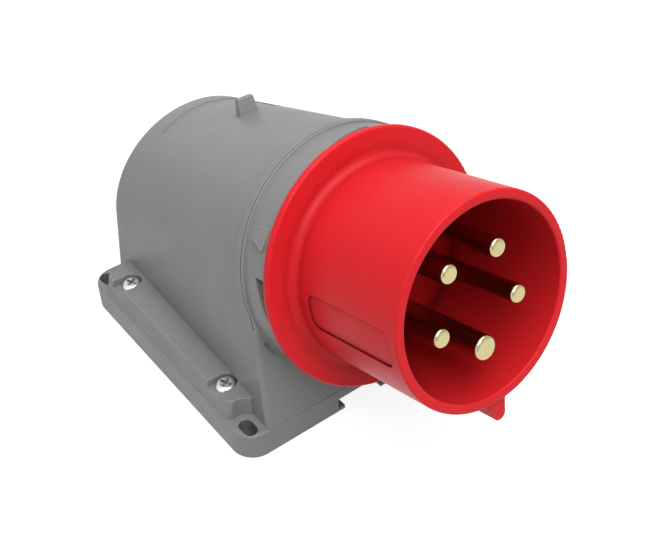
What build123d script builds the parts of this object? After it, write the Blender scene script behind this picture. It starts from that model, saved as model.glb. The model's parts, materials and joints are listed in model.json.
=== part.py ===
from build123d import *
import math
import os

os.makedirs("parts", exist_ok=True)

# Millimetres, +Z up out of the wall face, +X towards the mating connector.
# The origin is the centre of the mounting face.

# Base plate: its length and width also set the housing's footprint
base_length = 106.4
base_width = 104.4
base_height = 10.5
base_corner_radius = 8.3
base_edge_round = 1.1
base_floor = 2.4
well_margin_x = 11.2
well_margin_y = 16.7
well_length = base_length - 2 * well_margin_x
well_width = base_width - 2 * well_margin_y
well_corner = 4.0
slot_length = 7.6
slot_width = 5.0
slot_margin_x = 5.5
slot_margin_y = 4.8
slot_spacing_x = base_length - 2 * slot_margin_x
slot_spacing_y = base_width - 2 * slot_margin_y
rim_wall = 2.4
rim_roof = 2.6

# Where the plug stands on the housing
plug_tilt = 16.25
plug_overhang = 47.85
mouth_x = base_length / 2 + plug_overhang
mouth_z = 75.4

# Plug interface: 32 A, five pins, earth at six o'clock
shroud_radius = 32.35
shroud_bore_radius = 29.33
shroud_depth = 46.3
rim_round = 0.6
pin_circle_radius = 15.5
pin_diameter = 6.0
earth_pin_diameter = 8.0
pin_setback = 2.65
pin_tip_round = 1.2
pin_neck_step = 0.2
key_tip_radius = 39.25
key_root_width = 6.4
key_tip_width = 4.6
key_setback = 0.8

# Flange, its root fillet and the bare recess for a label
flange_radius = 41.7
flange_thickness = 2.5
flange_edge_round = 0.8
root_fillet = 2.8
label_front = 3.0
label_rear = 39.7
label_height = 11.5
label_corner = 3.0
label_depth = 0.55

# Clearances
face_gap = 0.1
slide_gap = 0.3
bore_gap = 0.2

# Cable recess in the front wall of the base
recess_centre_y = -3.4
recess_width = 21.6
recess_floor = 1.4
recess_roof = 6.0
recess_depth = 9.4
recess_slot_width = 16.0
recess_slot_depth = 8.6

# Housing
wall = 3.0
face_depth = 60.4
face_lean = 4.5
front_radius = 40.15
front_foot_margin = 9.2
front_foot_half_width = base_width / 2 - front_foot_margin
rear_margin = 0.3
rear_x = rear_margin - base_length / 2
rear_radius = 37.2
rear_top_z = 68.45
rear_foot_margin = 13.0
rear_foot_half_width = base_width / 2 - rear_foot_margin
front_edge_round = 1.4
rear_edge_round = 1.0

# Collar that takes the red insert
collar_radius = 40.2
collar_bore_radius = 35.6
collar_root = 4.0
lip_radius = 40.95
lip_depth = 60.9
lip_length = 4.3
lip_groove_depth = 61.75
lip_groove_width = 0.5
lip_groove_floor = 40.3
window_half_angle = 13.5
window_length = 6.4
window_short_length = 1.5
window_floor_radius = 37.9
catch_ring_radius = 33.7
catch_ring_front = 58.0
catch_ring_length = 3.0
entry_half_angle = 15.0
lug_half_angle = 12.5
lug_length = 3.0
nub_height = 1.3
nub_width = 4.8
nub_setback = 1.8
nub_length = 5.2
nub_slant = 1.7
nub_skew = 2.2
nub_angle = 144.5

# Side screw blocks
block_top_z = 18.0
block_margin = 0.8
block_span = 15.4
block_foot_y = base_width / 2 - block_margin
block_inner_y = block_foot_y - block_span
block_corner_round = 2.1
block_end_draft = 0.2
block_side_draft = 1.6
slot_relief_radius = 4.9
slot_relief_turn = 58.0
screw_margin_x = 21.2
screw_margin_y = 7.1
screw_x = base_length / 2 - screw_margin_x
screw_y = base_width / 2 - screw_margin_y
rear_screw_margin_x = 20.5
rear_screw_margin_y = 7.9
rear_screw_x = base_length / 2 - rear_screw_margin_x
rear_screw_y = base_width / 2 - rear_screw_margin_y
pocket_floor_z = 14.8
pocket_radius = 3.9
block_core_margin = 4.2
block_core_y = block_foot_y - block_core_margin
block_core_width = 3.4
block_roof = 2.6

# Retention fin and shallow panel on the barrel
fin_depth = 107.0
fin_foot_width = 7.6
fin_top_width = 5.9
fin_height = 43.8
fin_foot = 36.0
fin_foot_thickness = 3.2
fin_thickness = 2.2
fin_lean = 0.6
panel_front = 113.1
panel_rear = 141.5
panel_half_angle = 30.0
panel_depth = 0.5

# Cover screws
screw_diameter = 4.0
screw_head_diameter = 7.0
screw_head_height = 2.5
screw_bottom_z = 3.6
seal_diameter = 6.2
seal_height = 0.8
cross_width = 1.0
cross_length = 4.2
cross_depth = 1.4

# Contact carrier behind the shroud floor
shroud_floor = 3.0
spigot_front_radius = collar_bore_radius - slide_gap
neck_radius = catch_ring_radius - slide_gap
spigot_bore_radius = 30.0
neck_rear = 67.0
carrier_radius = spigot_bore_radius - slide_gap
carrier_rear = 66.0
pin_collar_diameter = 10.4
pin_collar_length = 2.2
barrel_diameter = 8.8
earth_barrel_diameter = 10.4
earth_collar_diameter = 12.4
barrel_rear = 79.0
wire_hole_diameter = 5.0
wire_hole_length = 11.0
carrier_screw_circle = 24.6
carrier_screw_diameter = 3.0
carrier_screw_head = 5.6
carrier_screw_head_height = 2.0
boss_diameter = 6.6
boss_rear = 56.0
pin_seal_length = 1.4
terminal_screw_diameter = 3.5
earth_screw_diameter = 4.0
terminal_screw_length = 5.0

# Flange gasket, base gasket, entry grommet, lock screw
gasket_inner_radius = 36.2
gasket_outer_radius = 37.6
gasket_height = 1.2
base_gasket_inset = 1.5
base_gasket_width = 1.3
base_gasket_height = 1.4
grommet_x = -18.0
grommet_flange_radius = 14.3
grommet_neck_radius = 12.5
grommet_flange = 1.0
grommet_lift = 0.2
membrane_radius = 10.0
membrane_thickness = 0.9
lock_screw_angle = 315.0
lock_screw_setback = 5.1
lock_screw_diameter = 3.0
lock_screw_head = 5.4
lock_screw_head_height = 1.6
lock_screw_seat = 38.2
lock_screw_tip = 33.0

carrier_screw_angles = (90, 234, 306)
carrier_screw_tip = 51.0
terminal_screw_depth = 71.0
terminal_screw_pitch = 4.4
terminal_screw_reach = 1.6

# The plug repeats itself every quarter turn, its pins every fifth of a turn
quarter_turn = 90
line_pin_start = -18
line_pin_sweep = 288

# Frames that the measurements above refer to
tilt = math.radians(plug_tilt)
face_tilt = math.radians(plug_tilt - face_lean)
face_x = mouth_x - face_depth * math.cos(tilt)
face_z = mouth_z - face_depth * math.sin(tilt)
axis_direction = (math.cos(tilt), 0, math.sin(tilt))
mouth = (mouth_x, 0, mouth_z)
plug_axis = Axis(mouth, axis_direction)
mouth_plane = Plane(origin=mouth, x_dir=(0, 1, 0), z_dir=axis_direction)
side_plane = Plane(origin=mouth, x_dir=axis_direction, z_dir=(0, -1, 0))
face_plane = Plane(
    origin=(face_x, 0, face_z),
    x_dir=(0, 1, 0),
    z_dir=(math.cos(face_tilt), 0, math.sin(face_tilt)),
)
rear_plane = Plane(origin=(rear_x, 0, 0), x_dir=(0, 1, 0), z_dir=(1, 0, 0))
flange_rear = shroud_depth + flange_thickness
collar_front = flange_rear + face_gap
nub_front = collar_front + nub_setback
lock_screw_depth = collar_front + lock_screw_setback
floor_rear = shroud_depth + shroud_floor
slot_end_x = (slot_spacing_x - slot_length + slot_width) / 2
slot_end_y = slot_spacing_y / 2
screw_points = [
    (screw_x, screw_y),
    (screw_x, -screw_y),
    (-rear_screw_x, rear_screw_y),
    (-rear_screw_x, -rear_screw_y),
]

carrier_screw_points = [
    (
        carrier_screw_circle * math.cos(math.radians(angle)),
        carrier_screw_circle * math.sin(math.radians(angle)),
    )
    for angle in carrier_screw_angles
]
terminal_screw_points = [
    (-terminal_screw_depth, 0),
    (-terminal_screw_depth - terminal_screw_pitch, 0),
]


def outward(angle):
    """Direction square to the plug axis, counted from +Y and turning upwards."""
    turn = math.radians(angle)
    return (-math.sin(tilt) * math.sin(turn), math.cos(turn), math.cos(tilt) * math.sin(turn))


def radial_plane(angle):
    """Plane that faces away from the plug axis, its X along that axis."""
    return Plane(origin=mouth, x_dir=axis_direction, z_dir=outward(angle))


def behind(depth):
    """Plane square to the plug axis, a distance behind the mouth."""
    return mouth_plane.offset(-depth)


def arch(plane, radius, centre_height, foot_half_width, foot_y):
    """Round arch whose legs run straight from the arc to the feet."""
    drop = centre_height - foot_y
    reach = math.hypot(foot_half_width, drop)
    touch = math.atan2(-drop, foot_half_width) + math.acos(radius / reach)
    touch_x = radius * math.cos(touch)
    touch_y = centre_height + radius * math.sin(touch)
    with BuildSketch(plane) as section:
        with BuildLine():
            ThreePointArc((touch_x, touch_y), (0, centre_height + radius), (-touch_x, touch_y))
            Polyline(
                (-touch_x, touch_y),
                (-foot_half_width, foot_y),
                (foot_half_width, foot_y),
                (touch_x, touch_y),
            )
        make_face()
    return section.sketch


def vault(inset, front_shift, rear_shift, foot_drop):
    """The housing body, all its walls moved in by the inset."""
    foot_z = base_height - foot_drop
    front = arch(
        face_plane.offset(-front_shift),
        front_radius - inset,
        0,
        front_foot_half_width - inset,
        (foot_z - face_z + front_shift * math.sin(face_tilt)) / math.cos(face_tilt),
    )
    rear = arch(
        rear_plane.offset(rear_shift),
        rear_radius - inset,
        rear_top_z - rear_radius,
        rear_foot_half_width - inset,
        foot_z,
    )
    with BuildPart() as body:
        loft([front, rear], ruled=True)
    return body.part


def sector(inner, outer, middle, half_angle):
    """Piece of a ring, an angle to each side of its middle."""
    far = 2 * outer / math.cos(math.radians(half_angle))
    first = math.radians(middle - half_angle)
    last = math.radians(middle + half_angle)
    with BuildSketch() as piece:
        with BuildLine():
            Polyline(
                (0, 0),
                (far * math.cos(first), far * math.sin(first)),
                (far * math.cos(last), far * math.sin(last)),
                close=True,
            )
        make_face()
        Circle(outer, mode=Mode.INTERSECT)
        if inner > 0:
            Circle(inner, mode=Mode.SUBTRACT)
    return piece.sketch


def wall_loop(inset, corner):
    """Outline that follows the foot of the housing wall, moved in by the inset."""
    front_x = face_x + (face_z - base_height) * math.tan(face_tilt)
    with BuildSketch() as loop:
        with BuildLine():
            Polyline(
                (front_x - inset, front_foot_half_width - inset),
                (rear_x + inset, rear_foot_half_width - inset),
                (rear_x + inset, inset - rear_foot_half_width),
                (front_x - inset, inset - front_foot_half_width),
                close=True,
            )
        make_face()
        fillet(loop.vertices(), corner)
    return loop.sketch


def block_section(plane, side, end_draft, side_draft):
    """Outline of a side block, its ends hollowed round the slots of the base."""
    relief = slot_relief_radius + end_draft
    arc = [
        (
            slot_end_x - relief * math.cos(math.radians(turn)),
            side * (slot_end_y - relief * math.sin(math.radians(turn))),
        )
        for turn in (slot_relief_turn, slot_relief_turn / 2, 0)
    ]
    mirrored = [(-x, y) for x, y in arc]
    outer_y = side * (block_foot_y - side_draft)
    with BuildSketch(plane) as section:
        with BuildLine():
            Polyline(
                arc[0],
                (arc[0][0], side * block_inner_y),
                (mirrored[0][0], side * block_inner_y),
                mirrored[0],
            )
            ThreePointArc(*mirrored)
            Polyline(mirrored[2], (mirrored[2][0], outer_y), (arc[2][0], outer_y), arc[2])
            ThreePointArc(*arc)
        make_face()
        outer_corners = section.vertices().sort_by_distance((0, 2 * side * base_width))[:2]
        fillet(outer_corners, block_corner_round)
    return section.sketch


# Base plate: shallow tray with four slotted holes
with BuildPart() as base_plate:
    with BuildSketch():
        RectangleRounded(base_length, base_width, base_corner_radius)
    extrude(amount=base_height)
    fillet(base_plate.faces().sort_by(Axis.Z)[-1].edges(), base_edge_round)
    with BuildSketch(Plane.XY.offset(base_floor)):
        RectangleRounded(well_length, well_width, well_corner)
    extrude(amount=base_height, mode=Mode.SUBTRACT)
    with BuildSketch():
        with GridLocations(slot_spacing_x, slot_spacing_y, 2, 2):
            SlotOverall(slot_length, slot_width)
    extrude(amount=base_height, mode=Mode.SUBTRACT)
    # weight-saving pockets under the long rims, between the screw bosses
    rim_middle = (well_width / 2 + base_width / 2) / 2
    rim_pocket = (base_width - well_width) / 2 - 2 * rim_wall
    with BuildSketch():
        with Locations((0, rim_middle), (0, -rim_middle)):
            RectangleRounded(2 * (screw_x - 6), rim_pocket, 2)
    extrude(amount=base_height - rim_roof, mode=Mode.SUBTRACT)
    # groove for the base gasket
    with BuildSketch(Plane.XY.offset(base_height)):
        add(wall_loop(base_gasket_inset - face_gap, 2.4))
        add(wall_loop(base_gasket_inset + base_gasket_width + face_gap, 1.0), mode=Mode.SUBTRACT)
    extrude(amount=-base_gasket_height, mode=Mode.SUBTRACT)
    # cable recess and the slot through its thin floor
    front_wall = Plane.XY.offset(recess_floor)
    with BuildSketch(front_wall):
        with Locations((base_length / 2, recess_centre_y)):
            Rectangle(2 * recess_depth, recess_width)
    extrude(amount=recess_roof - recess_floor, mode=Mode.SUBTRACT)
    with BuildSketch():
        with Locations((base_length / 2, recess_centre_y)):
            Rectangle(2 * recess_slot_depth, recess_slot_width)
    extrude(amount=recess_floor, mode=Mode.SUBTRACT)
    # seat of the entry grommet
    with BuildSketch():
        with Locations((grommet_x, 0)):
            Circle(grommet_flange_radius + bore_gap)
    extrude(amount=grommet_lift + grommet_flange, mode=Mode.SUBTRACT)
    with BuildSketch():
        with Locations((grommet_x, 0)):
            Circle(grommet_neck_radius)
    extrude(amount=base_floor, mode=Mode.SUBTRACT)
    # threaded bores of the cover screws
    with BuildSketch(Plane.XY.offset(screw_bottom_z - slide_gap)):
        with Locations(*screw_points):
            Circle(screw_diameter / 2)
    extrude(amount=base_height, mode=Mode.SUBTRACT)

# Curved cutter for the shallow panel on top of the barrel
with BuildPart() as panel_cutter:
    with BuildSketch(behind(panel_front)):
        add(sector(0, base_length / 2, quarter_turn, panel_half_angle))
    extrude(amount=panel_front - panel_rear)
    add(vault(panel_depth, 0, 0, 0), mode=Mode.SUBTRACT)

# Cutter for the windows, each with a slanted rear edge
window_reach = collar_radius * math.sin(math.radians(window_half_angle)) + 1
window_rear = collar_front + window_length
with BuildPart() as window_cutter:
    with BuildSketch(behind(collar_front)):
        for quarter in range(4):
            add(sector(window_floor_radius, collar_radius + 2, quarter_turn * quarter, window_half_angle))
    extrude(amount=-window_length)
    for quarter in range(4):
        with BuildSketch(radial_plane(quarter_turn * quarter).offset(window_floor_radius - 3)):
            with BuildLine():
                Polyline(
                    (-collar_front - window_short_length, -window_reach),
                    (-window_rear, window_reach),
                    (-window_rear - 1, window_reach),
                    (-window_rear - 1, -window_reach),
                    close=True,
                )
            make_face()
        extrude(amount=collar_radius, mode=Mode.SUBTRACT)

# Housing: tilted vault with collar, screw blocks and fin
with BuildPart() as housing:
    add(vault(0, 0, 0, 0))
    front_edges = housing.faces().sort_by(plug_axis)[-1].edges()
    fillet(front_edges.filter_by(Axis.Y, reverse=True), front_edge_round)
    rear_edges = housing.faces().sort_by(Axis.X)[0].edges()
    fillet(rear_edges.filter_by(Axis.Y, reverse=True), rear_edge_round)
    # side blocks
    for side in (1, -1):
        foot = block_section(Plane.XY.offset(base_height), side, 0, 0)
        head = block_section(Plane.XY.offset(block_top_z), side, block_end_draft, block_side_draft)
        loft([foot, head], ruled=True)
    # collar with a double lip at its foot
    with BuildSketch(behind(collar_front)):
        Circle(collar_radius)
    extrude(amount=collar_front - face_depth - collar_root)
    with BuildSketch(behind(lip_depth)):
        Circle(lip_radius)
    extrude(amount=-lip_length)
    with BuildSketch(behind(lip_groove_depth)):
        Circle(lip_radius + 1)
        Circle(lip_groove_floor, mode=Mode.SUBTRACT)
    extrude(amount=-lip_groove_width, mode=Mode.SUBTRACT)
    # hollow inside, open at the foot
    add(vault(wall, wall, wall, 2), mode=Mode.SUBTRACT)
    # bore of the collar and the ring that the lugs catch behind
    with BuildSketch(behind(collar_front - 1)):
        Circle(collar_bore_radius)
    extrude(amount=collar_front - 1 - catch_ring_front, mode=Mode.SUBTRACT)
    with BuildSketch(behind(catch_ring_front)):
        Circle(catch_ring_radius)
        for quarter in range(4):
            add(sector(0, collar_bore_radius, quarter_turn * (quarter + 0.5), entry_half_angle))
    extrude(amount=-catch_ring_length, mode=Mode.SUBTRACT)
    with BuildSketch(behind(catch_ring_front + catch_ring_length)):
        Circle(collar_bore_radius)
    extrude(amount=catch_ring_front + catch_ring_length - face_depth - 2 * wall, mode=Mode.SUBTRACT)
    # four windows in the collar's front edge
    add(window_cutter.part, mode=Mode.SUBTRACT)
    # small wedge on the collar beside the left window
    with BuildSketch(radial_plane(nub_angle).offset(collar_radius - 0.8)):
        with BuildLine():
            Polyline(
                (-nub_front, 0),
                (-nub_front - nub_length, 0),
                (-nub_front - nub_length - nub_slant, -nub_width),
                (-nub_front - nub_slant / 2, -nub_width - nub_skew),
                close=True,
            )
        make_face()
    extrude(amount=nub_height)
    # groove for the flange gasket
    with BuildSketch(behind(collar_front)):
        Circle(gasket_outer_radius + face_gap)
        Circle(gasket_inner_radius - face_gap, mode=Mode.SUBTRACT)
    extrude(amount=-gasket_height, mode=Mode.SUBTRACT)
    # U-shaped screw pockets, open to the outside, with their bores
    with BuildSketch(Plane.XY.offset(pocket_floor_z)):
        for x, y in screw_points:
            with Locations((x, y)):
                Circle(pocket_radius)
            with Locations((x, y + math.copysign(pocket_radius, y))):
                Rectangle(2 * pocket_radius, 2 * pocket_radius)
    extrude(amount=block_top_z + 0.5 - pocket_floor_z, mode=Mode.SUBTRACT)
    with BuildSketch(Plane.XY.offset(pocket_floor_z)):
        with Locations(*screw_points):
            Circle(seal_diameter / 2 + face_gap)
    extrude(amount=-seal_height, mode=Mode.SUBTRACT)
    with BuildSketch(Plane.XY.offset(base_height)):
        with Locations(*screw_points):
            Circle(screw_diameter / 2 + bore_gap)
    extrude(amount=pocket_floor_z - base_height, mode=Mode.SUBTRACT)
    # cored pockets under the blocks, between the screws
    with BuildSketch(Plane.XY.offset(base_height)):
        for side in (1, -1):
            with Locations((0, side * block_core_y)):
                RectangleRounded(2 * (screw_x - 6), block_core_width, 1.4)
    extrude(amount=block_top_z - base_height - block_roof, mode=Mode.SUBTRACT)
    # bore and sink of the lock screw
    with BuildSketch(radial_plane(lock_screw_angle).offset(collar_bore_radius - 2)):
        with Locations((-lock_screw_depth, 0)):
            Circle(lock_screw_diameter / 2 + bore_gap)
    extrude(amount=collar_radius, mode=Mode.SUBTRACT)
    with BuildSketch(radial_plane(lock_screw_angle).offset(lock_screw_seat)):
        with Locations((-lock_screw_depth, 0)):
            Circle(lock_screw_head / 2 + bore_gap)
    extrude(amount=collar_radius, mode=Mode.SUBTRACT)
    # fin that holds the mating lid
    with BuildSketch(radial_plane(quarter_turn).offset(fin_foot)):
        with Locations((-fin_depth - fin_foot_thickness / 2, 0)):
            Rectangle(fin_foot_thickness, fin_foot_width)
    with BuildSketch(radial_plane(quarter_turn).offset(fin_height)):
        with Locations((-fin_depth - fin_lean - fin_thickness / 2, 0)):
            Rectangle(fin_thickness, fin_top_width)
    loft(ruled=True)
    add(panel_cutter.part, mode=Mode.SUBTRACT)

# Curved cutter for the label recess
with BuildPart() as label_cutter:
    with BuildSketch(side_plane):
        with Locations((-(label_front + label_rear) / 2, 0)):
            RectangleRounded(label_rear - label_front, label_height, label_corner)
    extrude(amount=shroud_radius + 2)
    with BuildSketch(mouth_plane):
        Circle(shroud_radius - label_depth)
    extrude(amount=-shroud_depth, mode=Mode.SUBTRACT)

# Red insert: shroud, flange, floor and the spigot with its four lugs
with BuildPart() as plug_shroud:
    with BuildSketch(side_plane) as profile:
        with BuildLine():
            Polyline(
                (0, shroud_bore_radius),
                (0, shroud_radius),
                (-shroud_depth, shroud_radius),
                (-shroud_depth, flange_radius),
                (-flange_rear, flange_radius),
                (-flange_rear, spigot_front_radius),
                (1 - catch_ring_front, spigot_front_radius),
                (1 - catch_ring_front, neck_radius),
                (-neck_rear, neck_radius),
                (-neck_rear, spigot_bore_radius),
                (-floor_rear, spigot_bore_radius),
                (-floor_rear, 0),
                (-shroud_depth, 0),
                (-shroud_depth, shroud_bore_radius),
                close=True,
            )
        make_face()
        rim_point = (0, (shroud_bore_radius + shroud_radius) / 2)
        fillet(profile.vertices().sort_by_distance(rim_point)[:2], rim_round)
        fillet(profile.vertices().sort_by_distance((-shroud_depth, shroud_radius))[0], root_fillet)
        edge_point = (-shroud_depth - flange_thickness / 2, flange_radius)
        fillet(profile.vertices().sort_by_distance(edge_point)[:2], flange_edge_round)
    revolve(axis=plug_axis)
    # lugs that turn in behind the catch ring
    with BuildSketch(behind(catch_ring_front + catch_ring_length + face_gap)):
        for quarter in range(4):
            add(sector(neck_radius - 1, spigot_front_radius, quarter_turn * quarter, lug_half_angle))
    extrude(amount=-lug_length)
    # key rib at six o'clock
    with BuildSketch(behind(key_setback)) as key:
        with Locations((0, -(key_tip_radius - key_tip_width / 2))):
            Circle(key_tip_width / 2)
        with BuildLine():
            Polyline(
                (-key_tip_width / 2, key_tip_width / 2 - key_tip_radius),
                (key_tip_width / 2, key_tip_width / 2 - key_tip_radius),
                (key_root_width / 2, -shroud_bore_radius - 1),
                (-key_root_width / 2, -shroud_bore_radius - 1),
                close=True,
            )
        make_face()
    extrude(amount=key_setback - shroud_depth)
    # holes of the pins through the floor
    with BuildSketch(behind(shroud_depth)):
        with PolarLocations(pin_circle_radius, 4, line_pin_start, line_pin_sweep, endpoint=False):
            Circle(pin_diameter / 2 - pin_neck_step + bore_gap)
        with Locations((0, -pin_circle_radius)):
            Circle(earth_pin_diameter / 2 - pin_neck_step + bore_gap)
    extrude(amount=-shroud_floor, mode=Mode.SUBTRACT)
    # bosses that take the carrier screws
    with BuildSketch(behind(floor_rear)):
        with Locations(*carrier_screw_points):
            Circle(boss_diameter / 2)
    extrude(amount=floor_rear - boss_rear)
    with BuildSketch(behind(boss_rear)):
        with Locations(*carrier_screw_points):
            Circle(carrier_screw_diameter / 2)
    extrude(amount=boss_rear - carrier_screw_tip, mode=Mode.SUBTRACT)
    # tip hole of the lock screw
    with BuildSketch(radial_plane(lock_screw_angle).offset(lock_screw_tip)):
        with Locations((-lock_screw_depth, 0)):
            Circle(lock_screw_diameter / 2)
    extrude(amount=collar_radius, mode=Mode.SUBTRACT)
    # bare recess for a label on the left of the shroud
    add(label_cutter.part, mode=Mode.SUBTRACT)

# Gasket between the flange and the collar
with BuildPart() as flange_gasket:
    with BuildSketch(behind(flange_rear)):
        Circle(gasket_outer_radius)
        Circle(gasket_inner_radius, mode=Mode.SUBTRACT)
    extrude(amount=-gasket_height - face_gap)

# Gasket in the groove of the base
with BuildPart() as base_gasket:
    with BuildSketch(Plane.XY.offset(base_height)):
        add(wall_loop(base_gasket_inset, 2.3))
        add(wall_loop(base_gasket_inset + base_gasket_width, 1.1), mode=Mode.SUBTRACT)
    extrude(amount=-base_gasket_height)

# Carrier that holds the pins against the shroud floor
with BuildPart() as contact_carrier:
    with BuildSketch(behind(floor_rear)):
        Circle(carrier_radius)
    extrude(amount=floor_rear - carrier_rear)
    with BuildSketch(behind(floor_rear)):
        with PolarLocations(pin_circle_radius, 4, line_pin_start, line_pin_sweep, endpoint=False):
            Circle(pin_collar_diameter / 2 + bore_gap)
        with Locations((0, -pin_circle_radius)):
            Circle(earth_collar_diameter / 2 + bore_gap)
    extrude(amount=-pin_seal_length - pin_collar_length, mode=Mode.SUBTRACT)
    with BuildSketch(behind(floor_rear)):
        with PolarLocations(pin_circle_radius, 4, line_pin_start, line_pin_sweep, endpoint=False):
            Circle(barrel_diameter / 2 + bore_gap)
        with Locations((0, -pin_circle_radius)):
            Circle(earth_barrel_diameter / 2 + bore_gap)
    extrude(amount=floor_rear - carrier_rear, mode=Mode.SUBTRACT)
    with BuildSketch(behind(floor_rear)):
        with Locations(*carrier_screw_points):
            Circle(boss_diameter / 2 + bore_gap)
    extrude(amount=floor_rear - boss_rear, mode=Mode.SUBTRACT)
    with BuildSketch(behind(boss_rear)):
        with Locations(*carrier_screw_points):
            Circle(carrier_screw_diameter / 2 + bore_gap)
    extrude(amount=boss_rear - carrier_rear, mode=Mode.SUBTRACT)


def pin_seat(angle):
    """Where a pin stands on any plane square to the plug axis."""
    turn = math.radians(angle)
    return (pin_circle_radius * math.cos(turn), pin_circle_radius * math.sin(turn), 0)


def contact_pin(angle, diameter, collar_diameter, barrel, tip_round, screw_diameter):
    """One brass pin with its collar and the barrel that takes the wire."""
    collar_start = floor_rear + pin_seal_length
    seat = Location(pin_seat(angle))
    with BuildPart() as pin:
        with BuildSketch(behind(pin_setback)):
            with Locations(seat):
                Circle(diameter / 2)
        extrude(amount=pin_setback - shroud_depth + bore_gap)
        tip = pin.faces().sort_by(plug_axis)[-1]
        fillet(tip.edges(), tip_round)
        # thinner neck through the floor
        with BuildSketch(behind(shroud_depth - bore_gap)):
            with Locations(seat):
                Circle(diameter / 2 - pin_neck_step)
        extrude(amount=shroud_depth - bore_gap - collar_start)
        with BuildSketch(behind(collar_start)):
            with Locations(seat):
                Circle(collar_diameter / 2)
        extrude(amount=-pin_collar_length)
        with BuildSketch(behind(collar_start + pin_collar_length)):
            with Locations(seat):
                Circle(barrel / 2)
        extrude(amount=collar_start + pin_collar_length - barrel_rear)
        with BuildSketch(behind(barrel_rear)):
            with Locations(seat):
                Circle(wire_hole_diameter / 2)
        extrude(amount=wire_hole_length, mode=Mode.SUBTRACT)
        screw_plane = radial_plane(angle).offset(pin_circle_radius)
        with BuildSketch(screw_plane):
            with Locations(*terminal_screw_points):
                Circle(screw_diameter / 2)
        extrude(amount=barrel, mode=Mode.SUBTRACT)
    return pin.part


def terminal_screw_pair(angle, barrel, screw_diameter):
    """The two slotted grub screws of one terminal."""
    with BuildPart() as pair:
        start = pin_circle_radius + wire_hole_diameter / 2 - terminal_screw_reach
        with BuildSketch(radial_plane(angle).offset(start)):
            with Locations(*terminal_screw_points):
                Circle(screw_diameter / 2)
        extrude(amount=terminal_screw_length)
        with BuildSketch(radial_plane(angle).offset(start + terminal_screw_length)):
            with Locations(*terminal_screw_points):
                Rectangle(0.6, screw_diameter + 1)
        extrude(amount=-0.9, mode=Mode.SUBTRACT)
    return pair.part


def pin_seal(angle, inner_diameter, outer_diameter):
    """Rubber ring round one pin, between the floor and the pin's collar."""
    seat = Location(pin_seat(angle))
    with BuildPart() as ring:
        with BuildSketch(behind(floor_rear)):
            with Locations(seat):
                Circle(outer_diameter / 2)
                Circle(inner_diameter / 2, mode=Mode.SUBTRACT)
        extrude(amount=-pin_seal_length)
    return ring.part


line_angles = {"line_1_pin": 198, "line_2_pin": 126, "line_3_pin": 54, "neutral_pin": 342}
earth_angle = -quarter_turn
pins = {
    name: contact_pin(
        angle,
        pin_diameter,
        pin_collar_diameter,
        barrel_diameter,
        pin_tip_round,
        terminal_screw_diameter,
    )
    for name, angle in line_angles.items()
}
pins["earth_pin"] = contact_pin(
    earth_angle,
    earth_pin_diameter,
    earth_collar_diameter,
    earth_barrel_diameter,
    pin_tip_round,
    earth_screw_diameter,
)

with BuildPart() as line_terminal_screws:
    for angle in line_angles.values():
        add(terminal_screw_pair(angle, barrel_diameter, terminal_screw_diameter))
with BuildPart() as earth_terminal_screws:
    add(terminal_screw_pair(earth_angle, earth_barrel_diameter, earth_screw_diameter))
with BuildPart() as line_pin_seals:
    for angle in line_angles.values():
        add(pin_seal(angle, pin_diameter - 2 * pin_neck_step, pin_collar_diameter - 1))
with BuildPart() as earth_pin_seal:
    add(
        pin_seal(
            earth_angle,
            earth_pin_diameter - 2 * pin_neck_step,
            earth_collar_diameter - 1,
        )
    )

# Screws from behind the carrier into the bosses of the shroud floor
with BuildPart() as carrier_screws:
    with BuildSketch(behind(carrier_rear)):
        with Locations(*carrier_screw_points):
            Circle(carrier_screw_head / 2)
    extrude(amount=-carrier_screw_head_height)
    with BuildSketch(behind(carrier_rear)):
        with Locations(*carrier_screw_points):
            Circle(carrier_screw_diameter / 2)
    extrude(amount=carrier_rear - carrier_screw_tip)
    with BuildSketch(behind(carrier_rear + carrier_screw_head_height)):
        with Locations(*carrier_screw_points):
            Rectangle(0.8, carrier_screw_head + 1)
    extrude(amount=1.0, mode=Mode.SUBTRACT)

# Pan-head cover screws with a cross recess
with BuildPart() as cover_screws:
    with BuildSketch(Plane.XY.offset(pocket_floor_z)):
        with Locations(*screw_points):
            Circle(screw_head_diameter / 2)
    extrude(amount=screw_head_height)
    fillet(cover_screws.edges().group_by(Axis.Z)[-1], 1.3)
    with BuildSketch(Plane.XY.offset(pocket_floor_z)):
        with Locations(*screw_points):
            Circle(screw_diameter / 2)
    extrude(amount=screw_bottom_z - pocket_floor_z)
    with BuildSketch(Plane.XY.offset(pocket_floor_z + screw_head_height)):
        for turn in (25, 115):
            with Locations(*screw_points):
                Rectangle(cross_length, cross_width, rotation=turn)
    extrude(amount=-cross_depth, mode=Mode.SUBTRACT)

# Rubber washers in the counterbores under the screw heads
with BuildPart() as cover_screw_seals:
    with BuildSketch(Plane.XY.offset(pocket_floor_z)):
        with Locations(*screw_points):
            Circle(seal_diameter / 2)
            Circle(screw_diameter / 2 + 2 * face_gap, mode=Mode.SUBTRACT)
    extrude(amount=-seal_height)

# Rubber entry grommet with a thin membrane
with BuildPart() as entry_grommet:
    with BuildSketch(Plane.XY.offset(grommet_lift)):
        with Locations((grommet_x, 0)):
            Circle(grommet_flange_radius)
    extrude(amount=grommet_flange)
    with BuildSketch(Plane.XY.offset(grommet_lift + grommet_flange)):
        with Locations((grommet_x, 0)):
            Circle(grommet_neck_radius)
    extrude(amount=base_floor - grommet_lift - grommet_flange)
    with BuildSketch(Plane.XY.offset(base_floor)):
        with Locations((grommet_x, 0)):
            Circle(grommet_flange_radius)
    extrude(amount=grommet_flange)
    with BuildSketch(Plane.XY.offset(grommet_lift + membrane_thickness)):
        with Locations((grommet_x, 0)):
            Circle(membrane_radius)
    extrude(amount=base_height, mode=Mode.SUBTRACT)

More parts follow.
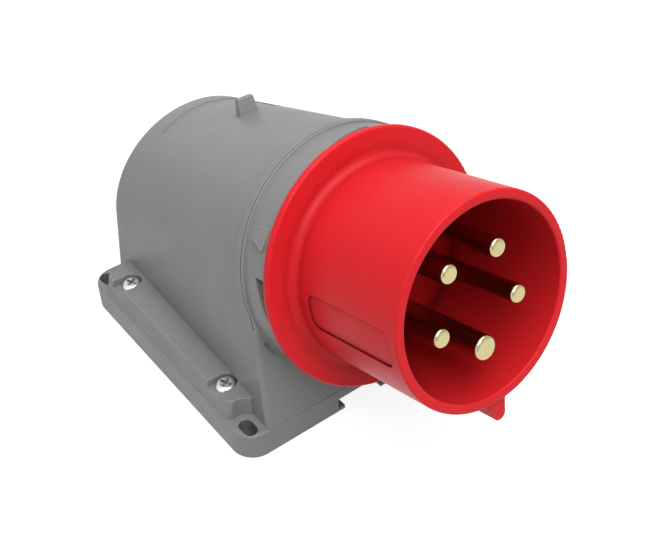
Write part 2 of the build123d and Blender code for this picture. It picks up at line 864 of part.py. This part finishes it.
# Lock screw that stops the insert turning back
with BuildPart() as insert_lock_screw:
    with BuildSketch(radial_plane(lock_screw_angle).offset(lock_screw_seat)):
        with Locations((-lock_screw_depth, 0)):
            Circle(lock_screw_head / 2)
    extrude(amount=lock_screw_head_height)
    with BuildSketch(radial_plane(lock_screw_angle).offset(lock_screw_tip)):
        with Locations((-lock_screw_depth, 0)):
            Circle(lock_screw_diameter / 2)
    extrude(amount=lock_screw_seat - lock_screw_tip)
    with BuildSketch(radial_plane(lock_screw_angle).offset(lock_screw_seat + lock_screw_head_height)):
        with Locations((-lock_screw_depth, 0)):
            Rectangle(0.8, lock_screw_head + 1)
    extrude(amount=-0.9, mode=Mode.SUBTRACT)

built = {
    "base_plate": base_plate.part,
    "housing": housing.part,
    "plug_shroud": plug_shroud.part,
    "contact_carrier": contact_carrier.part,
    "line_terminal_screws": line_terminal_screws.part,
    "earth_terminal_screws": earth_terminal_screws.part,
    "line_pin_seals": line_pin_seals.part,
    "earth_pin_seal": earth_pin_seal.part,
    "carrier_screws": carrier_screws.part,
    "cover_screws": cover_screws.part,
    "cover_screw_seals": cover_screw_seals.part,
    "flange_gasket": flange_gasket.part,
    "base_gasket": base_gasket.part,
    "entry_grommet": entry_grommet.part,
    "insert_lock_screw": insert_lock_screw.part,
}
built.update(pins)
for name, piece in built.items():
    piece.label = name
    export_step(piece, "parts/" + name + ".step")
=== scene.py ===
import json
import math
from collections import namedtuple

import bpy
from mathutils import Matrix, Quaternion, Vector

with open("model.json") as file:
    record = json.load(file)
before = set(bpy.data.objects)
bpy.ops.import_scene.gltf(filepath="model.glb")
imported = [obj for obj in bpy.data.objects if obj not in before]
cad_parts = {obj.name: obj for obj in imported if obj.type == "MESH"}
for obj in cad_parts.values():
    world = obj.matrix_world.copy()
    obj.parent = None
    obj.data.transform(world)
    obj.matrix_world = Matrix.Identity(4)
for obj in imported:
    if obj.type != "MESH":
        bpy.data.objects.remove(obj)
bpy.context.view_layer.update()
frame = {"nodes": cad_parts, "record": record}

nodes = frame["nodes"]

MM = 0.001

# Rise of the plug's axis from the wall, as the record's frame states it
PLUG_TILT = math.radians(16.25)

# Camera of the photograph's view: sensor and lens in millimetres, places in metres
SENSOR_WIDTH = 36.0
LENS = 53.25
CAMERA_PLACE = Vector((0.2327, -0.1550, 0.2557))
CAMERA_TARGET = Vector((0.0343, -0.0015, 0.0413))
CAMERA_ROLL = math.radians(-0.6)
CAMERA_NEAR = 0.01

# Lamps: place and size in metres, power in watts
LAMPS = {
    "key": ((0.42, -0.18, 0.68), 0.50, 3.7),
    "top": ((0.05, 0.15, 0.75), 0.50, 2.5),
    "fill": ((0.16, -0.72, 0.20), 0.50, 0.6),
    "rear": ((-0.70, 0.05, 0.06), 0.50, 0.4),
}

# World: its strength as light on the object, and as the background rays see it
WORLD_LIGHT = 0.22
WORLD_SEEN = 1.0

# Floor: square just under the mounting face, with a glow that only those rays see
FLOOR_SIZE = 6.0
FLOOR_DROP = 0.2 * MM
FLOOR_GREY = 0.40
FLOOR_GLOW = 0.85

# Noise textures: scale per metre, detail, roughness
MOTTLE = (35.0, 4.0, 0.5)
DULL_PATCHES = (90.0, 5.0, 0.6)
METAL_STAIN = (160.0, 5.0, 0.6)
METAL_PATCHES = (400.0, 3.0, 0.5)

# Grain of moulded plastic; its size and depth come with each plastic
GRAIN_DETAIL = 2.0
GRAIN_ROUGHNESS = 0.6
GRAIN_STRENGTH = 0.35

# Edges: rays per shaded point, the width of the pale edge (wear and painted highlight)
# against the softened width, and the dot product of real and rounded normal at which an
# edge is fully pale and a face is open
WEAR_AND_HIGHLIGHT_SAMPLES = 4
SOFT_SAMPLES = 6
WEAR_AND_HIGHLIGHT_WIDTH = 1.6
EDGE_DOT = 0.75
FACE_DOT = 0.99

# Rings that a lathe leaves
RING_DISTORTION = 0.6
RING_DETAIL = 1.0
RING_DEPTH = 0.02 * MM

# Painted shade: a darker colour painted where a piece's own walls shelter it; how far off
# a wall still shelters, and the openness at which the painted shade is full and at which it
# is gone
PaintedShade = namedtuple("PaintedShade", "colour reach full gone")
PAINTED_SHADE_SAMPLES = 8

# Colour sockets of a Mix node in RGBA mode
MIX_FIRST = 6
MIX_SECOND = 7
MIX_RESULT = 2


def cleared_tree(owner):
    """The emptied node tree of a material or world."""
    owner.use_nodes = True
    owner.node_tree.nodes.clear()
    return owner.node_tree


def new_material(name):
    """A new material, its node tree, and the principled shader on its output."""
    material = bpy.data.materials.new(name)
    tree = cleared_tree(material)
    output = tree.nodes.new("ShaderNodeOutputMaterial")
    shader = tree.nodes.new("ShaderNodeBsdfPrincipled")
    tree.links.new(shader.outputs["BSDF"], output.inputs["Surface"])
    return material, tree, shader


def object_position(tree):
    """Position in the object's own frame, which is the CAD frame."""
    return tree.nodes.new("ShaderNodeTexCoord").outputs["Object"]


def noise(tree, position, scale, detail, roughness):
    """Noise value at a position."""
    texture = tree.nodes.new("ShaderNodeTexNoise")
    texture.inputs["Scale"].default_value = scale
    texture.inputs["Detail"].default_value = detail
    texture.inputs["Roughness"].default_value = roughness
    tree.links.new(position, texture.inputs["Vector"])
    return texture.outputs["Fac"]


def spread(tree, value, low, high, from_low=0.3, from_high=0.7):
    """Maps a value to a range and stops at its ends; noise lies mostly in 0.3 to 0.7."""
    ramp = tree.nodes.new("ShaderNodeMapRange")
    ramp.inputs["From Min"].default_value = from_low
    ramp.inputs["From Max"].default_value = from_high
    ramp.inputs["To Min"].default_value = low
    ramp.inputs["To Max"].default_value = high
    tree.links.new(value, ramp.inputs["Value"])
    return ramp.outputs["Result"]


def two_tone(tree, factor, first, second):
    """Mix of two colours by a factor; each colour is a tuple or a socket."""
    mix = tree.nodes.new("ShaderNodeMix")
    mix.data_type = "RGBA"
    tree.links.new(factor, mix.inputs["Factor"])
    for colour, index in ((first, MIX_FIRST), (second, MIX_SECOND)):
        if isinstance(colour, tuple):
            mix.inputs[index].default_value = (*colour, 1.0)
        else:
            tree.links.new(colour, mix.inputs[index])
    return mix.outputs[MIX_RESULT]


def soft_edges(tree, radius, samples):
    """Normal that is rounded within a radius of each edge."""
    bevel = tree.nodes.new("ShaderNodeBevel")
    bevel.samples = samples
    bevel.inputs["Radius"].default_value = radius
    return bevel.outputs["Normal"]


def edge_mask(tree, radius):
    """1 on edges within the radius, 0 on open faces."""
    geometry = tree.nodes.new("ShaderNodeNewGeometry")
    dot = tree.nodes.new("ShaderNodeVectorMath")
    dot.operation = "DOT_PRODUCT"
    tree.links.new(soft_edges(tree, radius, WEAR_AND_HIGHLIGHT_SAMPLES), dot.inputs[0])
    tree.links.new(geometry.outputs["Normal"], dot.inputs[1])
    return spread(tree, dot.outputs["Value"], 1.0, 0.0, EDGE_DOT, FACE_DOT)


def paint_shade_where_sheltered(tree, surface, painted_shades):
    """Surface colour that turns to each painted shade's colour where its own piece shelters
    it.
    """
    for painted_shade in painted_shades:
        shelter = tree.nodes.new("ShaderNodeAmbientOcclusion")
        shelter.samples = PAINTED_SHADE_SAMPLES
        shelter.only_local = True
        shelter.inputs["Distance"].default_value = painted_shade.reach
        openness = spread(tree, shelter.outputs["AO"], 0.0, 1.0, painted_shade.full, painted_shade.gone)
        surface = two_tone(tree, openness, painted_shade.colour, surface)
    return surface


def bump(tree, height, strength, distance, normal=None):
    """Normal with a height's relief, on top of another normal where one is given."""
    relief = tree.nodes.new("ShaderNodeBump")
    relief.inputs["Strength"].default_value = strength
    relief.inputs["Distance"].default_value = distance
    tree.links.new(height, relief.inputs["Height"])
    if normal is not None:
        tree.links.new(normal, relief.inputs["Normal"])
    return relief.outputs["Normal"]


def moulded(
    name, colour, shade, wear_and_highlight, roughness, grain_size, grain_depth, edge_radius,
    specular=0.5, painted_shades=(),
):
    """Moulded plastic: faint mottling, eroded grain, softened edges made paler by wear and
    painted highlight, and any painted shade.
    """
    material, tree, shader = new_material(name)
    position = object_position(tree)
    mottle = spread(tree, noise(tree, position, *MOTTLE), 0.0, 1.0)
    body = two_tone(tree, mottle, colour, shade)
    # Paler edges: partly wear, partly painted highlight
    edges = edge_mask(tree, edge_radius * WEAR_AND_HIGHLIGHT_WIDTH)
    # Painted shade where the piece shelters itself
    surface = paint_shade_where_sheltered(tree, two_tone(tree, edges, body, wear_and_highlight), painted_shades)
    dullness = spread(tree, noise(tree, position, *DULL_PATCHES), *roughness)
    grain = noise(tree, position, 1.0 / grain_size, GRAIN_DETAIL, GRAIN_ROUGHNESS)
    soft = soft_edges(tree, edge_radius, SOFT_SAMPLES)
    relief = bump(tree, grain, GRAIN_STRENGTH, grain_depth, soft)
    tree.links.new(surface, shader.inputs["Base Color"])
    tree.links.new(dullness, shader.inputs["Roughness"])
    tree.links.new(relief, shader.inputs["Normal"])
    shader.inputs["Specular IOR Level"].default_value = specular
    return material


def turned_metal(name, colour, tarnish, roughness, ring_scale, ring_strength, painted_shades=()):
    """Metal turned on a lathe: fine rings round the plug's axis, faint tarnish, and any
    painted shade.
    """
    material, tree, shader = new_material(name)
    position = object_position(tree)
    along = tree.nodes.new("ShaderNodeMapping")
    along.inputs["Rotation"].default_value = (0.0, PLUG_TILT, 0.0)
    tree.links.new(position, along.inputs["Vector"])
    rings = tree.nodes.new("ShaderNodeTexWave")
    rings.bands_direction = "X"
    rings.inputs["Scale"].default_value = ring_scale
    rings.inputs["Distortion"].default_value = RING_DISTORTION
    rings.inputs["Detail"].default_value = RING_DETAIL
    tree.links.new(along.outputs["Vector"], rings.inputs["Vector"])
    stain = spread(tree, noise(tree, position, *METAL_STAIN), 0.0, 1.0)
    # Painted shade where the piece shelters itself
    surface = paint_shade_where_sheltered(tree, two_tone(tree, stain, colour, tarnish), painted_shades)
    dullness = spread(tree, noise(tree, position, *METAL_PATCHES), *roughness)
    relief = bump(tree, rings.outputs["Fac"], ring_strength, RING_DEPTH)
    tree.links.new(surface, shader.inputs["Base Color"])
    tree.links.new(dullness, shader.inputs["Roughness"])
    tree.links.new(relief, shader.inputs["Normal"])
    shader.inputs["Metallic"].default_value = 1.0
    return material


# Finishes by the record's material slots; the paler edge colours are partly wear and partly
# painted highlight, and the darker sheltered colours are painted shade
FINISHES = {
    "grey_plastic": moulded(
        "moulded_grey",
        colour=(0.268, 0.271, 0.268), shade=(0.252, 0.255, 0.253), wear_and_highlight=(0.41, 0.412, 0.41),
        roughness=(0.42, 0.52), grain_size=0.35 * MM, grain_depth=0.06 * MM,
        edge_radius=0.45 * MM,
        # painted shade in the grey's recesses and inside corners
        painted_shades=[PaintedShade((0.13, 0.132, 0.131), reach=8.0 * MM, full=0.25, gone=0.70)],
    ),
    "red_plastic": moulded(
        "moulded_red",
        colour=(0.83, 0.021, 0.029), shade=(0.79, 0.018, 0.025), wear_and_highlight=(0.96, 0.07, 0.08),
        roughness=(0.34, 0.44), grain_size=0.45 * MM, grain_depth=0.04 * MM,
        edge_radius=0.3 * MM, specular=0.17,
        # painted shade: darker red deep in the mouth and by the flange, darker still in
        # fillets and corners
        painted_shades=[
            PaintedShade((0.42, 0.010, 0.013), reach=60.0 * MM, full=0.15, gone=0.90),
            PaintedShade((0.20, 0.005, 0.007), reach=5.0 * MM, full=0.45, gone=0.97),
        ],
    ),
    "dark_plastic": moulded(
        "moulded_black",
        colour=(0.02, 0.02, 0.022), shade=(0.015, 0.015, 0.016), wear_and_highlight=(0.05, 0.05, 0.05),
        roughness=(0.45, 0.6), grain_size=0.4 * MM, grain_depth=0.06 * MM,
        edge_radius=0.3 * MM,
    ),
    "black_rubber": moulded(
        "black_rubber",
        colour=(0.012, 0.012, 0.012), shade=(0.018, 0.018, 0.018), wear_and_highlight=(0.03, 0.03, 0.03),
        roughness=(0.7, 0.85), grain_size=0.6 * MM, grain_depth=0.1 * MM,
        edge_radius=0.2 * MM, specular=0.3,
    ),
    "brass": turned_metal(
        "turned_brass",
        colour=(0.57, 0.51, 0.275), tarnish=(0.53, 0.46, 0.24),
        roughness=(0.14, 0.20), ring_scale=500.0, ring_strength=0.015,
    ),
    "plated_steel": turned_metal(
        "plated_steel",
        colour=(0.92, 0.93, 0.94), tarnish=(0.82, 0.83, 0.84),
        roughness=(0.30, 0.42), ring_scale=300.0, ring_strength=0.05,
        # painted shade in the steel's recesses, such as the screws' cross recess
        painted_shades=[PaintedShade((0.44, 0.44, 0.45), reach=2.5 * MM, full=0.30, gone=0.75)],
    ),
}
for subpart in frame["record"]["subparts"]:
    for slot in nodes[subpart["node"]].material_slots:
        slot.material = FINISHES[subpart["material_slot"]]


def background_rays(tree):
    """1 for the rays that show the background: camera, glossy and transmission."""
    path = tree.nodes.new("ShaderNodeLightPath")
    seen = path.outputs["Is Camera Ray"]
    for ray in ("Is Glossy Ray", "Is Transmission Ray"):
        either = tree.nodes.new("ShaderNodeMath")
        either.operation = "MAXIMUM"
        tree.links.new(seen, either.inputs[0])
        tree.links.new(path.outputs[ray], either.inputs[1])
        seen = either.outputs["Value"]
    return seen


# Floor: keeps the object's shadow, and glows for the background rays
half = FLOOR_SIZE / 2
floor_corners = [(-half, -half, 0), (half, -half, 0), (half, half, 0), (-half, half, 0)]
floor_mesh = bpy.data.meshes.new("floor")
floor_mesh.from_pydata(floor_corners, [], [(0, 1, 2, 3)])
floor = bpy.data.objects.new("floor", floor_mesh)
floor.location.z = -FLOOR_DROP
bpy.context.scene.collection.objects.link(floor)
floor_material = bpy.data.materials.new("floor_white")
floor_tree = cleared_tree(floor_material)
floor_output = floor_tree.nodes.new("ShaderNodeOutputMaterial")
floor_sum = floor_tree.nodes.new("ShaderNodeAddShader")
floor_diffuse = floor_tree.nodes.new("ShaderNodeBsdfDiffuse")
floor_diffuse.inputs["Color"].default_value = (FLOOR_GREY, FLOOR_GREY, FLOOR_GREY, 1.0)
floor_glow = floor_tree.nodes.new("ShaderNodeEmission")
floor_seen = floor_tree.nodes.new("ShaderNodeMath")
floor_seen.operation = "MULTIPLY"
floor_seen.inputs[1].default_value = FLOOR_GLOW
floor_tree.links.new(background_rays(floor_tree), floor_seen.inputs[0])
floor_tree.links.new(floor_seen.outputs["Value"], floor_glow.inputs["Strength"])
floor_tree.links.new(floor_diffuse.outputs["BSDF"], floor_sum.inputs[0])
floor_tree.links.new(floor_glow.outputs["Emission"], floor_sum.inputs[1])
floor_tree.links.new(floor_sum.outputs["Shader"], floor_output.inputs["Surface"])
floor_mesh.materials.append(floor_material)

# World: dim on the object, pale for the background rays
world = bpy.data.worlds.new("studio")
bpy.context.scene.world = world
sky = cleared_tree(world)
sky_output = sky.nodes.new("ShaderNodeOutputWorld")
sky_background = sky.nodes.new("ShaderNodeBackground")
sky_strength = sky.nodes.new("ShaderNodeMapRange")
sky_strength.inputs["To Min"].default_value = WORLD_LIGHT
sky_strength.inputs["To Max"].default_value = WORLD_SEEN
sky.links.new(background_rays(sky), sky_strength.inputs["Value"])
sky.links.new(sky_strength.outputs["Result"], sky_background.inputs["Strength"])
sky.links.new(sky_background.outputs["Background"], sky_output.inputs["Surface"])

# Lamps: all face the camera's target
for name, (lamp_place, size, power) in LAMPS.items():
    lamp = bpy.data.lights.new(name, "AREA")
    lamp.size = size
    lamp.energy = power
    holder = bpy.data.objects.new(name, lamp)
    holder.location = lamp_place
    facing = (CAMERA_TARGET - Vector(lamp_place)).to_track_quat("-Z", "Y")
    holder.rotation_euler = facing.to_euler()
    bpy.context.scene.collection.objects.link(holder)

# Camera at the photograph's angle
camera_data = bpy.data.cameras.new("camera")
camera_data.sensor_width = SENSOR_WIDTH
camera_data.lens = LENS
camera_data.clip_start = CAMERA_NEAR
camera = bpy.data.objects.new("camera", camera_data)
camera.location = CAMERA_PLACE
aim = (CAMERA_TARGET - CAMERA_PLACE).to_track_quat("-Z", "Y")
camera.rotation_mode = "QUATERNION"
camera.rotation_quaternion = aim @ Quaternion((0, 0, 1), CAMERA_ROLL)
bpy.context.scene.collection.objects.link(camera)
bpy.context.scene.camera = camera
bpy.context.scene.view_settings.view_transform = "Standard"
